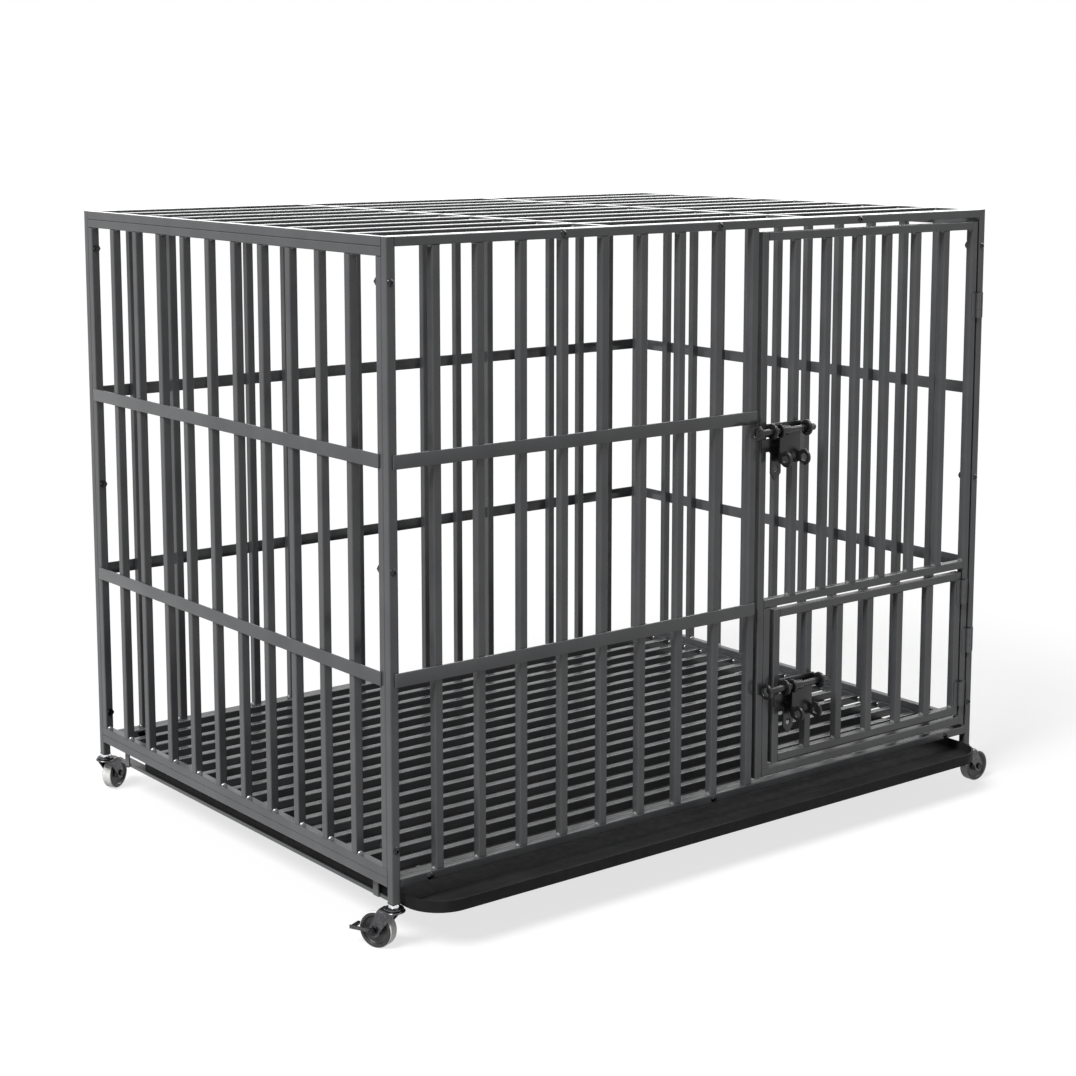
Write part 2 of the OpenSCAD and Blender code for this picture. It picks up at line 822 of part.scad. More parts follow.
// Moulded wheel centre: a hub that runs between the fork legs and a full disc under the tyre
module castor_hub(i) {
    disc_r = wheel_d / 2 - tyre_t - tread_gap;
    disc_half = wheel_w / 2 - face_step;
    groove_r = disc_r - groove_in;
    color(dark_plastic) at_castor(i) translate([trail, 0, wheel_d / 2]) rotate([90, 0, 0]) difference() {
        union() {
            cylinder(r = disc_r, h = 2 * disc_half, center = true);
            cylinder(d = hub_d, h = 2 * (leg_half - hub_clear), center = true);
        }
        cylinder(d = axle_d + 2 * run_clear, h = 4 * leg_half, center = true);
        for (side = [-1, 1]) translate([0, 0, side * disc_half]) difference() {
            cylinder(r = groove_r, h = 2 * groove_h, center = true);
            cylinder(r = groove_r - groove_w, h = 3 * groove_h, center = true);
        }
    }
}

// Tread ring moulded on the wheel centre, with rounded shoulders
module castor_tyre(i) {
    disc_r = wheel_d / 2 - tyre_t;
    flat = wheel_w / 2 - tyre_round;
    color(rubber) at_castor(i) translate([trail, 0, wheel_d / 2]) rotate([90, 0, 0]) rotate_extrude() {
        translate([disc_r, -wheel_w / 2]) square([tyre_t - tyre_round, wheel_w]);
        translate([disc_r, -flat]) square([tyre_t, 2 * flat]);
        for (y = [-flat, flat]) translate([wheel_d / 2 - tyre_round, y]) circle(tyre_round);
    }
}

// Brake lever on the axle outside the fork, with a foot pad behind the wheel
module castor_brake(i) {
    inner_y = leg_half + leg_t + brake_gap;
    color(zinc) at_castor(i) translate([trail, 0, wheel_d / 2]) difference() {
        union() {
            translate([0, inner_y + brake_t, 0]) rotate([90, 0, 0]) linear_extrude(brake_t) {
                circle(d = brake_ring_d);
                translate([0, -brake_arm / 2]) square([brake_reach, brake_arm]);
            }
            translate([brake_reach - brake_pad, -brake_pad_in, -brake_pad_t / 2])
                cube([brake_pad, brake_pad_in + inner_y + brake_t / 2, brake_pad_t]);
        }
        rotate([90, 0, 0]) cylinder(d = axle_d + 2 * run_clear, h = 4 * leg_half, center = true);
    }
}

front_frame();
front_bars();
front_strips();
back_frame();
back_bars();
back_strips();
left_frame();
left_bars();
left_strips();
right_frame();
right_bars();
right_strips();
floor_frame();
floor_slats();
floor_tray();
roof_frame();
roof_slats();
roof_cross_bars();
frame_screws();
frame_nuts();
door_frame();
door_bars();
door_fixed_leaves();
door_moving_leaves();
door_hinge_pins();
small_door_frame();
small_door_bars();
small_fixed_leaves();
small_moving_leaves();
small_hinge_pins();
upper_keeper();
upper_guide();
upper_hasp();
upper_bolt();
upper_handle();
lower_keeper();
lower_guide();
lower_hasp();
lower_bolt();
lower_handle();
castor_plugs();
castor_stems();
castor_fork(0);  // front_left_fork
castor_fork(1);  // front_right_fork
castor_fork(2);  // back_left_fork
castor_fork(3);  // back_right_fork
castor_axle(0, true);  // front_left_axle
castor_axle(1, false);  // front_right_axle
castor_axle(2, true);  // back_left_axle
castor_axle(3, false);  // back_right_axle
castor_hub(0);  // front_left_hub
castor_hub(1);  // front_right_hub
castor_hub(2);  // back_left_hub
castor_hub(3);  // back_right_hub
castor_tyre(0);  // front_left_tyre
castor_tyre(1);  // front_right_tyre
castor_tyre(2);  // back_left_tyre
castor_tyre(3);  // back_right_tyre
castor_brake(0);  // front_left_brake
castor_brake(2);  // back_left_brake
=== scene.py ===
"""Heavy duty dog crate: the looks of the welded tube crate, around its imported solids."""
import json
import math

import bmesh
import bpy
import numpy as np
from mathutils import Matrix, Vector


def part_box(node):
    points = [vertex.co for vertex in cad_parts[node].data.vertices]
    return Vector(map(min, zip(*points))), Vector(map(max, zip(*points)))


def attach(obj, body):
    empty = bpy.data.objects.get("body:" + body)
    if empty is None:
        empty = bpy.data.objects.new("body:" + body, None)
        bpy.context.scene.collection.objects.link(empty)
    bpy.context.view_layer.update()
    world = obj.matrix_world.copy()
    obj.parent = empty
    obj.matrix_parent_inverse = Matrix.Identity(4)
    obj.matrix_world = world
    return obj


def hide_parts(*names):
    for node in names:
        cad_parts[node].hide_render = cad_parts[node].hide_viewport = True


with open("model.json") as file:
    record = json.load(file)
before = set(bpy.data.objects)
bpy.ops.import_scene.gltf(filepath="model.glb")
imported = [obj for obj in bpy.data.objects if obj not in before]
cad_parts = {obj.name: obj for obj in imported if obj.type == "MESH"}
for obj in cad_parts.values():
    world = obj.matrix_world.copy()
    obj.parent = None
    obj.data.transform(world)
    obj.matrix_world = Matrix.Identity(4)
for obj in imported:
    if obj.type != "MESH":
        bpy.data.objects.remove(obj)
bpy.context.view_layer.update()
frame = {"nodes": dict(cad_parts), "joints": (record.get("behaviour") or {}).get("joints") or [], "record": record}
bpy.context.scene.view_settings.view_transform = "Standard"


# Panels, grates and doors: half inch square steel tube, cut to length and welded into flat
# frames, then powder coated a satin charcoal and baked. The tubes are the frame's own solids,
# with their rounded corners, so this section gives them their coat.
COAT_DARK = (0.072, 0.074, 0.078, 1)
COAT_LIGHT = (0.096, 0.098, 0.102, 1)
COAT_ROUGHNESS = (0.15, 0.24)
COAT_SPECULAR = 0.38


def mottle(tree, place, scale, detail=2.0):
    """Cloudy noise of about 1 / scale metres across, from 0 to 1."""
    noise = tree.nodes.new("ShaderNodeTexNoise")
    noise.inputs["Scale"].default_value = scale
    noise.inputs["Detail"].default_value = detail
    tree.links.new(place, noise.inputs["Vector"])
    return noise.outputs["Fac"]


def between(tree, factor, low, high):
    """Carries the middle of a noise, 0.3 to 0.7, onto the range from low to high."""
    ramp = tree.nodes.new("ShaderNodeMapRange")
    ramp.inputs["From Min"].default_value = 0.3
    ramp.inputs["From Max"].default_value = 0.7
    ramp.inputs["To Min"].default_value = low
    ramp.inputs["To Max"].default_value = high
    tree.links.new(factor, ramp.inputs["Value"])
    return ramp.outputs["Result"]


def tinted(tree, factor, dark, light):
    """Colour that goes from dark to light with a noise."""
    mix = tree.nodes.new("ShaderNodeMix")
    mix.data_type = "RGBA"
    mix.inputs["A"].default_value = dark
    mix.inputs["B"].default_value = light
    tree.links.new(between(tree, factor, 0, 1), mix.inputs["Factor"])
    return mix.outputs["Result"]


def dimpled(tree, factor, strength, depth):
    """Surface normal of a height field that is depth metres from its floor to its top."""
    bump = tree.nodes.new("ShaderNodeBump")
    bump.inputs["Strength"].default_value = strength
    bump.inputs["Distance"].default_value = depth
    tree.links.new(factor, bump.inputs["Height"])
    return bump.outputs["Normal"]


def finish(name, dark, light, roughness, clouds, patches, grain=None):
    """Material and shader of a finish whose tone drifts in clouds and whose gloss drifts in patches,
    each a scale per metre and a detail. Its grain is a scale, a strength and a depth in metres."""
    material = bpy.data.materials.new(name)
    material.use_nodes = True
    tree = material.node_tree
    skin = tree.nodes["Principled BSDF"]
    place = tree.nodes.new("ShaderNodeTexCoord").outputs["Object"]
    tree.links.new(tinted(tree, mottle(tree, place, *clouds), dark, light), skin.inputs["Base Color"])
    tree.links.new(between(tree, mottle(tree, place, *patches), *roughness), skin.inputs["Roughness"])
    if grain:
        scale, strength, depth = grain
        relief = dimpled(tree, mottle(tree, place, scale), strength, depth)
        tree.links.new(relief, skin.inputs["Normal"])
    return material, skin


def powder_coat(name, dark, light, roughness, specular):
    """Baked powder: clouds of tone a hand wide, a gloss that wanders, and a fine orange peel."""
    material, skin = finish(name, dark, light, roughness, (16, 5), (70, 3), (750, 0.08, 0.0002))
    skin.inputs["Specular IOR Level"].default_value = specular
    return material


def dress(slot_name, material):
    """Puts a finish on every frame node of one material slot."""
    for part in frame["record"]["subparts"]:
        if part["material_slot"] == slot_name:
            mesh = frame["nodes"][part["node"]].data
            mesh.materials.clear()
            mesh.materials.append(material)


charcoal_coat = powder_coat("charcoal_powder_coat", COAT_DARK, COAT_LIGHT, COAT_ROUGHNESS, COAT_SPECULAR)
dress("frame_coat", charcoal_coat)


# Weld beads: short fillets of weld metal in the corners where a bar, slat or rail meets the
# tube it stands on, coated with the panel. They are left as run, so they stay round and shiny.
# Their colour is painted lighter than the panel's coat, a painted highlight that makes them show as glints.
TUBE = 0.0127
BEAD_LEG = 0.0036
BEAD_LENGTH = 0.0095
BEAD_SINK = 0.0004
BEAD_LOOPS = 7
BEAD_ARC = 4
BEAD_RIPPLE = 0.08
BEAD_DRAW_IN = 0.8
BEAD_POWER = 1.3
BAR_COUNT = {"front_bars": 8, "back_bars": 15, "left_bars": 10, "right_bars": 10,
             "door_bars": 6, "small_door_bars": 5}
FLOOR_SLATS = 17
ROOF_SLATS = 9
# Painted highlight: these weld tones are lighter than the coat so that the beads read as bright glints.
WELD_GLINT_DARK = (0.10, 0.10, 0.105, 1)
WELD_GLINT_LIGHT = (0.15, 0.15, 0.155, 1)
WELD_ROUGHNESS = (0.08, 0.16)
WELD_SPECULAR = 0.8
SHARP_FROM = 38


def lattice(rows, cols):
    """Quads between rows of vertices, each row a closed ring of cols vertices."""
    row = np.arange(rows - 1)[:, None] * cols
    here = np.arange(cols)[None, :]
    after = (here + 1) % cols
    quads = [row + here, row + after, row + cols + after, row + cols + here]
    return np.stack(quads, axis=-1).reshape(-1, 4)


def lofted(rings):
    """Skin over closed rings of equal length, laid one after another, with a flat end on each side."""
    rows, cols = rings.shape[:2]
    ends = np.arange(rows * cols).reshape(rows, cols)
    return rings.reshape(-1, 3), lattice(rows, cols).tolist() + [ends[0].tolist(), ends[-1].tolist()]


def placed(name, data):
    """A new object of the scene, at the origin and unturned."""
    item = bpy.data.objects.new(name, data)
    bpy.context.scene.collection.objects.link(item)
    return item


def make_piece(name, shapes, body, material, stands_for=()):
    """One mesh from (points, faces) shapes, its doubles merged and its faces turned outwards,
    that moves with a body and stands for the named frame nodes."""
    skin = bmesh.new()
    for points, faces in shapes:
        shape = bpy.data.meshes.new(name)
        shape.from_pydata(points.tolist(), [], faces)
        skin.from_mesh(shape)
        bpy.data.meshes.remove(shape)
    bmesh.ops.remove_doubles(skin, verts=skin.verts, dist=1e-6)
    bmesh.ops.recalc_face_normals(skin, faces=skin.faces)
    mesh = bpy.data.meshes.new(name)
    skin.to_mesh(mesh)
    skin.free()
    mesh.shade_smooth()
    mesh.set_sharp_from_angle(angle=math.radians(SHARP_FROM))
    mesh.materials.append(material)
    piece = placed(name, mesh)
    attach(piece, body)
    if stands_for:
        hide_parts(*stands_for)


def fillet_bead(corner, along, side_a, side_b):
    """Bead in the corner of two faces: a quarter of a superellipse, from one leg to the other, is
    carried along the corner, swells and shrinks a little from ring to ring and draws in at its ends."""
    u = np.linspace(-1, 1, BEAD_LOOPS)
    ripple = 1 + BEAD_RIPPLE * np.cos(np.arange(BEAD_LOOPS) * np.pi)
    swell = BEAD_LEG * (1 - BEAD_DRAW_IN * np.abs(u) ** 4) * ripple
    turn = np.linspace(0, np.pi / 2, BEAD_ARC)
    leg_a = np.append(np.cos(turn) ** BEAD_POWER, 0)[None, :] * swell[:, None] - BEAD_SINK
    leg_b = np.append(np.sin(turn) ** BEAD_POWER, 0)[None, :] * swell[:, None] - BEAD_SINK
    rings = (corner + u[:, None, None] * along * BEAD_LENGTH / 2
             + leg_a[:, :, None] * side_a + leg_b[:, :, None] * side_b)
    return lofted(rings)


def row_of(node, axis, count):
    """Middles, along one axis, of the equal tubes that fill a node's box from end to end."""
    low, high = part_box(node)
    return np.linspace(low[axis] + TUBE / 2, high[axis] - TUBE / 2, count)


def beads_beside(places, across, ends, length_axis, fixed):
    """Beads on both sides of every tube of a row, at both of its ends. places lie along the axis
    across, ends are the tube ends along length_axis, and fixed is the middle on the third axis."""
    third = 3 - across - length_axis
    unit = np.eye(3)
    shapes = []
    for place in places:
        for side in (-1, 1):
            for end, inward in zip(ends, (1, -1)):
                corner = np.zeros(3)
                corner[across] = place + side * TUBE / 2
                corner[length_axis] = end
                corner[third] = fixed
                shapes.append(fillet_bead(corner, unit[third], side * unit[across],
                                          inward * unit[length_axis]))
    return shapes


def upright_beads(node, across):
    """Beads at the foot and head of every upright bar of a node."""
    low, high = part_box(node)
    third = 1 - across
    return beads_beside(row_of(node, across, BAR_COUNT[node]), across, (low.z, high.z), 2,
                        (low[third] + high[third]) / 2)


def corner_beads(node, across, heights):
    """Beads in the inner corners of a panel's frame: heights pairs a level with the way it faces."""
    low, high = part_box(node)
    third = 1 - across
    unit = np.eye(3)
    shapes = []
    for side, place in ((1, low[across] + TUBE), (-1, high[across] - TUBE)):
        for height, way in heights:
            corner = np.zeros(3)
            corner[across] = place
            corner[third] = (low[third] + high[third]) / 2
            corner[2] = height
            shapes.append(fillet_bead(corner, unit[third], side * unit[across], way * unit[2]))
    return shapes


# Coat of the beads, painted lighter than the panel coat as a painted highlight.
glint_weld_coat = powder_coat("coated_weld_painted_glint", WELD_GLINT_DARK, WELD_GLINT_LIGHT, WELD_ROUGHNESS, WELD_SPECULAR)
for side_name, across in (("front", 0), ("back", 0), ("left", 1), ("right", 1)):
    bars = side_name + "_bars"
    foot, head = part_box(bars)[0].z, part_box(bars)[1].z
    make_piece(side_name + "_welds",
               upright_beads(bars, across)
               + corner_beads(side_name + "_frame", across, ((foot, 1), (head, -1))),
               "crate", glint_weld_coat)
floor_low, floor_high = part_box("floor_slats")
make_piece("floor_welds",
           beads_beside(row_of("floor_slats", 1, FLOOR_SLATS), 1, (floor_low.x, floor_high.x), 0,
                        floor_high.z - TUBE / 2),
           "crate", glint_weld_coat)
roof_low, roof_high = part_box("roof_slats")
cross_low, cross_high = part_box("roof_cross_bars")
roof_bays = ((roof_low.x, cross_low.x), (cross_low.x + TUBE, cross_high.x - TUBE),
             (cross_high.x, roof_high.x))
roof_beads = []
for bay in roof_bays:
    roof_beads += beads_beside(row_of("roof_slats", 1, ROOF_SLATS), 1, bay, 0, roof_high.z - TUBE / 2)
make_piece("roof_welds", roof_beads, "crate", glint_weld_coat)
door_low, door_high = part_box("door_frame")
door_bar_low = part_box("door_bars")[0].z
make_piece("door_welds",
           upright_beads("door_bars", 0)
           + corner_beads("door_frame", 0, ((door_low.z + TUBE, 1), (door_bar_low - TUBE, -1),
                                            (door_bar_low, 1), (door_high.z - TUBE, -1))),
           "large_door", glint_weld_coat)
small_low, small_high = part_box("small_door_frame")
make_piece("small_door_welds",
           upright_beads("small_door_bars", 0)
           + corner_beads("small_door_frame", 0, ((small_low.z + TUBE, 1), (small_high.z - TUBE, -1))),
           "small_door", glint_weld_coat)


# Flat strips: cold rolled steel strip laid across the bars at two heights and welded to each
# one, so that the bars can't be spread. Its long edges are rolled round.
STRIP_HEIGHT = 0.019
STRIP_EDGE = 0.0009
EDGE_STEPS = 3


def round_box(low, high, edge, steps):
    """Box with rounded edges: the box shrunk by the edge radius is carried out again by that radius
    along each point's direction on a sphere, ring after ring from one end of X to the other."""
    low, high = np.asarray(low, float), np.asarray(high, float)
    quarter = np.linspace(0, np.pi / 2, steps + 1)
    turn = np.concatenate([quarter + k * np.pi / 2 for k in range(4)])
    tilt = np.concatenate([quarter - np.pi / 2, quarter])
    ring = np.stack([np.zeros_like(turn), np.cos(turn), np.sin(turn)], axis=-1)
    out = np.cos(tilt)[:, None, None] * ring + np.sin(tilt)[:, None, None] * np.array([1, 0, 0])
    corner = np.zeros((len(tilt), len(turn), 3))
    corner[:, :, 0] = (np.arange(len(tilt)) > steps)[:, None]
    corner[:, :, 1] = np.repeat((1, 0, 0, 1), steps + 1)
    corner[:, :, 2] = np.repeat((1, 1, 0, 0), steps + 1)
    return lofted(low + edge + corner * (high - low - 2 * edge) + edge * out)


for side_name in ("front", "back", "left", "right"):
    node = side_name + "_strips"
    low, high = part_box(node)
    lengths = [round_box((low.x, low.y, z), (high.x, high.y, z + STRIP_HEIGHT), STRIP_EDGE, EDGE_STEPS)
               for z in (low.z, high.z - STRIP_HEIGHT)]
    make_piece(side_name + "_flat_strips", lengths, "crate", charcoal_coat, (node,))


# Tray: a shallow pan moulded in dull black plastic with a fine spark eroded grain, that slides on
# the two runners under the floor. Low ribs moulded along its bottom stiffen it and lead water to
# the ends.
RIB_COUNT = 13
RIB_WIDTH = 0.010
RIB_HEIGHT = 0.0022
RIB_END = 0.030
RIB_FADE = 0.04
TRAY_WALL = 0.0025
TRAY_DARK = (0.011, 0.011, 0.012, 1)
TRAY_LIGHT = (0.019, 0.019, 0.020, 1)
TRAY_ROUGHNESS = (0.58, 0.72)
TRAY_SPECULAR = 0.10


def tray_rib(y, x_low, x_high, z):
    """Rib along X: half a sine wave across its width, that fades in and out over its ends."""
    u = np.linspace(0, 1, 15)
    v = np.linspace(0, 1, 7)
    fade_in = np.sin(np.clip(u / RIB_FADE, 0, 1) * np.pi / 2)
    fade_out = np.sin(np.clip((1 - u) / RIB_FADE, 0, 1) * np.pi / 2)
    rings = np.zeros((len(u), len(v), 3))
    rings[:, :, 0] = (x_low + (x_high - x_low) * u)[:, None]
    rings[:, :, 1] = y + (v - 0.5) * RIB_WIDTH
    rings[:, :, 2] = z + RIB_HEIGHT * (fade_in * fade_out)[:, None] * np.sin(v * np.pi)
    return lofted(rings)


tray_black, tray_skin = finish("black_moulding", TRAY_DARK, TRAY_LIGHT, TRAY_ROUGHNESS,
                               (22, 6), (90, 3), (1400, 0.3, 0.0001))
tray_skin.inputs["Specular IOR Level"].default_value = TRAY_SPECULAR
dress("tray_plastic", tray_black)
tray_low, tray_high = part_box("floor_tray")
rib_rows = np.linspace(tray_low.y + 2 * RIB_END, tray_high.y - 2 * RIB_END, RIB_COUNT)
ribs = [tray_rib(y, tray_low.x + RIB_END, tray_high.x - RIB_END, tray_low.z + TRAY_WALL) for y in rib_rows]
make_piece("tray_ribs", ribs, "tray", tray_black)


# Screws and nuts: button head screws with a hexagon socket, zinc plated and passivated nearly
# black, that pull the stiles of neighbouring panels and the floor and roof grates together.
# The hinge pins are alike.
SCREW_DARK = (0.026, 0.026, 0.028, 1)
SCREW_LIGHT = (0.052, 0.052, 0.055, 1)
SCREW_ROUGHNESS = (0.12, 0.20)


def dark_zinc(name, dark, light, roughness):
    """Passivated zinc: a metal with a cloudy tone, patches of wandering gloss and fine turning marks."""
    material, skin = finish(name, dark, light, roughness, (260, 4), (420, 3), (2600, 0.15, 0.00005))
    skin.inputs["Metallic"].default_value = 1.0
    return material


dress("screw_steel", dark_zinc("dark_zinc_screw", SCREW_DARK, SCREW_LIGHT, SCREW_ROUGHNESS))


# Slide bolts: each has a keeper ear welded to the post or the door, a guide of two round ears on
# a base plate, a rod that slides through them, a cast handle on the rod with two padlock ears and
# a pointed hasp plate behind it. All are steel in stoved black enamel with a soft ripple.
EAR_RADIUS = 0.012
EAR_FOOT = 0.016
EAR_EDGE = 0.0015
KEEPER_HOLE = 0.007
GUIDE_HOLE = 0.0052
GUIDE_PLATE = 0.0025
GUIDE_HEIGHT = 0.020
PLATE_EDGE = 0.0007
ROD_RADIUS = 0.005
SLEEVE_RADIUS = 0.0075
SLEEVE_LENGTH = 0.020
SLEEVE_EDGE = 0.0008
COLLAR_RADIUS = 0.0105
COLLAR_WIDTH = 0.0035
HANDLE_HEIGHT = 0.050
HANDLE_THICKNESS = 0.004
HANDLE_CORNER = 0.006
LUG_EYE = 0.0055
LUG_OUT = 0.013
LUG_DROP = 0.041
HASP_EYE = 0.0045
HASP_EYE_HEIGHT = -0.0585
HASP_SIDES = (0.0085, 0.0295)
HASP_ROOT = -0.0107
HASP_TOP = -0.012
HASP_ARM = -0.032
HASP_SHOULDER = -0.065
HASP_TIP = -0.076
HASP_NOSE = 0.004
ENAMEL_DARK = (0.008, 0.008, 0.009, 1)
ENAMEL_LIGHT = (0.017, 0.017, 0.018, 1)
ENAMEL_ROUGHNESS = (0.24, 0.34)
ENAMEL_SPECULAR = 0.42


def arc(centre, radius, start, stop, steps):
    """Points on a circle from one angle to another, in degrees, both included."""
    turn = np.radians(np.linspace(start, stop, steps + 1))
    return np.asarray(centre) + radius * np.stack([np.cos(turn), np.sin(turn)], axis=-1)


def eye(centre, radius):
    """Round hole: a circle of 24 points."""
    return arc(centre, radius, 0, 345, 23)


def cut_plate(loops, thickness, origin, side, up, out, edge=PLATE_EDGE):
    """Flat plate with holes: the outline and hole loops are filled, given a thickness and rounded along
    every edge, then laid on the plane of side and up, with its thickness centred along out."""
    curve = bpy.data.curves.new("plate_outline", "CURVE")
    curve.dimensions = "2D"
    curve.fill_mode = "BOTH"
    curve.extrude = thickness / 2 - edge
    curve.bevel_depth = edge
    curve.bevel_resolution = 3
    curve.offset = -edge
    for loop in loops:
        spline = curve.splines.new("POLY")
        spline.points.add(len(loop) - 1)
        spline.points.foreach_set("co", np.pad(loop, ((0, 0), (0, 2))).ravel())
        spline.use_cyclic_u = True
    outline = placed("plate_outline", curve)
    bpy.context.view_layer.update()
    flat = bpy.data.meshes.new_from_object(outline.evaluated_get(bpy.context.evaluated_depsgraph_get()))
    points = np.zeros(len(flat.vertices) * 3)
    flat.vertices.foreach_get("co", points)
    faces = [list(face.vertices) for face in flat.polygons]
    bpy.data.objects.remove(outline)
    bpy.data.curves.remove(curve)
    bpy.data.meshes.remove(flat)
    return np.asarray(origin, float) + points.reshape(-1, 3) @ np.array([side, up, out], float), faces


def turned(profile, origin, axis, steps=32):
    """Turned part: a profile of (distance along the axis, radius) pairs is spun round the axis. One that
    starts on the axis is closed by its ends. Any other is a ring, closed from its last pair to its first."""
    axis = np.asarray(axis, float)
    first = np.cross(axis, (0, 0, 1) if abs(axis[2]) < 0.9 else (1, 0, 0))
    first /= np.linalg.norm(first)
    second = np.cross(axis, first)
    turn = np.linspace(0, 2 * np.pi, steps, endpoint=False)
    spoke = np.cos(turn)[:, None] * first + np.sin(turn)[:, None] * second
    profile = np.asarray(profile, float)
    rings = (np.asarray(origin, float) + profile[:, 0, None, None] * axis
             + profile[:, 1, None, None] * spoke[None])
    if profile[0, 1] < 1e-9:
        return lofted(rings)
    rows = len(profile)
    return rings.reshape(-1, 3), (lattice(rows + 1, steps) % (rows * steps)).tolist()


def rounded_ring(length, inner, outer, edge):
    """Profile of a ring of one length, its two outer edges rounded by quarter circles."""
    turn = np.linspace(0, np.pi / 2, 4)
    rise = [(edge - edge * math.cos(t), outer - edge + edge * math.sin(t)) for t in turn]
    fall = [(length - edge + edge * math.sin(t), outer - edge + edge * math.cos(t)) for t in turn]
    return [(0, inner)] + rise + fall + [(length, inner)]


def rod_profile(length):
    """Profile of the rod: a long rounded nose at the keeper's end and a small chamfer at its tail."""
    nose = [(0, 0), (0, 0.0028), (0.0004, 0.0033), (0.0018, 0.0047), (0.0026, ROD_RADIUS)]
    tail = [(length - 0.0015, ROD_RADIUS), (length - 0.0004, 0.0044), (length, 0.0035), (length, 0)]
    return nose + tail


def bolt_ear(centre, foot_y, hole, width):
    """Round ear across the rod, on a straight foot that stands on the face at foot_y."""
    lean = math.degrees(math.asin(EAR_FOOT / 2 / EAR_RADIUS))
    foot = foot_y - centre[1]
    outline = np.vstack([[(foot, EAR_FOOT / 2)], arc((0, 0), EAR_RADIUS, lean, 360 - lean, 36),
                         [(foot, -EAR_FOOT / 2)]])
    return cut_plate([outline, eye((0, 0), hole)], width, centre, (0, 1, 0), (0, 0, 1), (1, 0, 0), EAR_EDGE)


def handle_plate(low_x, high_x, bolt_y, bolt_z):
    """Handle: a plate that hangs from the rod's axis, with its two lower corners rounded."""
    corner_z = HANDLE_CORNER - HANDLE_HEIGHT
    outline = np.vstack([
        [(low_x, 0), (high_x, 0)],
        arc((high_x - HANDLE_CORNER, corner_z), HANDLE_CORNER, 0, -90, 6),
        arc((low_x + HANDLE_CORNER, corner_z), HANDLE_CORNER, -90, -180, 6),
    ])
    return cut_plate([outline], HANDLE_THICKNESS, (0, bolt_y, bolt_z), (1, 0, 0), (0, 0, 1), (0, -1, 0))


def hasp_plate(near_x, panel_y, bolt_z, thickness):
    """Hasp: an arm from the stile and a plate that hangs from it to a rounded point, with an eye above
    the point."""
    left, right = HASP_SIDES
    middle = (left + right) / 2
    outline = np.vstack([
        [(HASP_ROOT, HASP_TOP), (right - HASP_NOSE, HASP_TOP)],
        arc((right - HASP_NOSE, HASP_TOP - HASP_NOSE), HASP_NOSE, 90, 0, 4),
        [(right, HASP_SHOULDER)],
        arc((middle, HASP_TIP + HASP_NOSE), HASP_NOSE, -40, -140, 6),
        [(left, HASP_SHOULDER)],
        arc((left - HASP_NOSE, HASP_ARM - HASP_NOSE), HASP_NOSE, 0, 90, 4),
        [(HASP_ROOT, HASP_ARM)],
    ])
    return cut_plate([outline, eye((middle, HASP_EYE_HEIGHT), HASP_EYE)], thickness,
                     (near_x, panel_y - thickness / 2, bolt_z), (1, 0, 0), (0, 0, 1), (0, -1, 0))


latch_enamel, latch_skin = finish("black_enamel", ENAMEL_DARK, ENAMEL_LIGHT, ENAMEL_ROUGHNESS,
                                  (120, 4), (240, 2), (500, 0.08, 0.0001))
latch_skin.inputs["Specular IOR Level"].default_value = ENAMEL_SPECULAR
dress("latch_black", latch_enamel)
panel_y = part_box("front_bars")[0].y
for level, holder, keeper_body in (("upper", "large_door", "crate"), ("lower", "small_door", "large_door")):
    rod_low, rod_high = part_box(level + "_bolt")
    keeper_low, keeper_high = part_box(level + "_keeper")
    guide_low, guide_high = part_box(level + "_guide")
    hasp_low, hasp_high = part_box(level + "_hasp")
    handle_low, handle_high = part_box(level + "_handle")
    bolt_y, bolt_z = (rod_low.y + rod_high.y) / 2, (rod_low.z + rod_high.z) / 2
    ear_width = keeper_high.x - keeper_low.x
    near_x, far_x = guide_low.x + ear_width / 2, guide_high.x - ear_width / 2
    keeper_x = (keeper_low.x + keeper_high.x) / 2
    keeper = bolt_ear((keeper_x, bolt_y, bolt_z), panel_y, KEEPER_HOLE, ear_width)
    make_piece(level + "_keeper_ear", [keeper], keeper_body, latch_enamel,
               (level + "_keeper",))
    base = round_box((near_x, panel_y - GUIDE_PLATE, bolt_z - GUIDE_HEIGHT / 2),
                     (far_x, panel_y, bolt_z + GUIDE_HEIGHT / 2), PLATE_EDGE, EDGE_STEPS)
    guides = [bolt_ear((x, bolt_y, bolt_z), panel_y, GUIDE_HOLE, ear_width) for x in (near_x, far_x)]
    make_piece(level + "_guide_ears", [base] + guides, holder, latch_enamel,
               (level + "_guide",))
    hasp = hasp_plate(near_x, panel_y, bolt_z, hasp_high.y - hasp_low.y)
    make_piece(level + "_hasp_plate", [hasp], holder, latch_enamel, (level + "_hasp",))
    rod = turned(rod_profile(rod_high.x - rod_low.x), (rod_low.x, bolt_y, bolt_z), (1, 0, 0))
    make_piece(level + "_bolt_rod", [rod], level + "_slide", latch_enamel, (level + "_bolt",))
    stop = (handle_low.x, bolt_y, bolt_z)
    sleeve = turned(rounded_ring(SLEEVE_LENGTH, ROD_RADIUS, SLEEVE_RADIUS, SLEEVE_EDGE), stop, (1, 0, 0))
    collar = turned(rounded_ring(COLLAR_WIDTH, ROD_RADIUS, COLLAR_RADIUS, EAR_EDGE), stop, (1, 0, 0))
    plate = handle_plate(handle_low.x, handle_high.x, bolt_y, bolt_z)
    lugs = [bolt_ear((x, bolt_y - LUG_OUT, bolt_z - LUG_DROP), bolt_y, LUG_EYE, ear_width)
            for x in (handle_low.x + ear_width / 2, handle_high.x - ear_width / 2)]
    make_piece(level + "_cast_handle", [sleeve, collar, plate] + lugs, level + "_slide",
               latch_enamel, (level + "_handle",))


